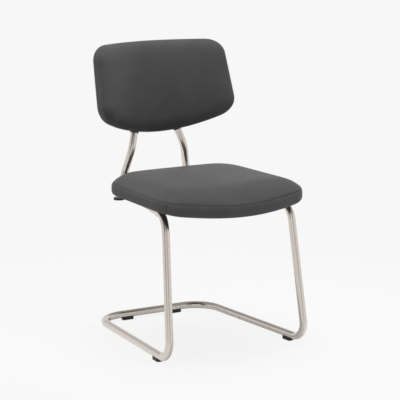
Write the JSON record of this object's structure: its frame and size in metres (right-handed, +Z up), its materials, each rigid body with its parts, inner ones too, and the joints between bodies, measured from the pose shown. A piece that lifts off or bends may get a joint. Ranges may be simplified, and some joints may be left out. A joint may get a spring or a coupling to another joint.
{
  "type": "chair",
  "caption": "Cantilever side chair: bent steel tube frame on a floor loop, crowned upholstered seat and a curved padded backrest carried by converging uprights.",
  "frame": {"origin": "on the floor, under the middle of the chair's overall box", "axes": "+Z is up, the chair faces -Y, and +X is on the right of someone looking at its front"},
  "size_m": [0.4762, 0.6133, 0.8532],
  "materials": {
    "frame_steel": "brushed along the tube",
    "plain_steel": "zinc plated",
    "upholstery": "smooth, low sheen",
    "plywood": "raw moulded plywood",
    "lining": "non-woven lining",
    "black_plastic": "moulded, matte"
  },
  "bodies": {
    "root": {"side_frame_left": "frame_steel", "side_frame_right": "frame_steel", "rear_sleeve": "plain_steel", "seat_cushion": "upholstery", "seat_side_band": "upholstery", "seat_board": "plywood", "seat_underside_cover": "lining", "seat_spacer_front_left": "black_plastic", "seat_spacer_front_right": "black_plastic", "seat_spacer_rear_left": "black_plastic", "seat_spacer_rear_right": "black_plastic", "seat_screws": "plain_steel", "seat_inserts": "plain_steel", "rail_buffer_left": "black_plastic", "rail_buffer_right": "black_plastic", "back_front_cushion": "upholstery", "back_rear_cushion": "upholstery", "back_board": "plywood", "back_inserts": "plain_steel", "back_screws": "plain_steel", "back_bushing_left": "black_plastic", "back_bushing_right": "black_plastic", "upright_plug_left": "black_plastic", "upright_plug_right": "black_plastic", "glide_front_left": "black_plastic", "glide_front_right": "black_plastic", "glide_rear_left": "black_plastic", "glide_rear_right": "black_plastic"}
  },
  "joints": []
}
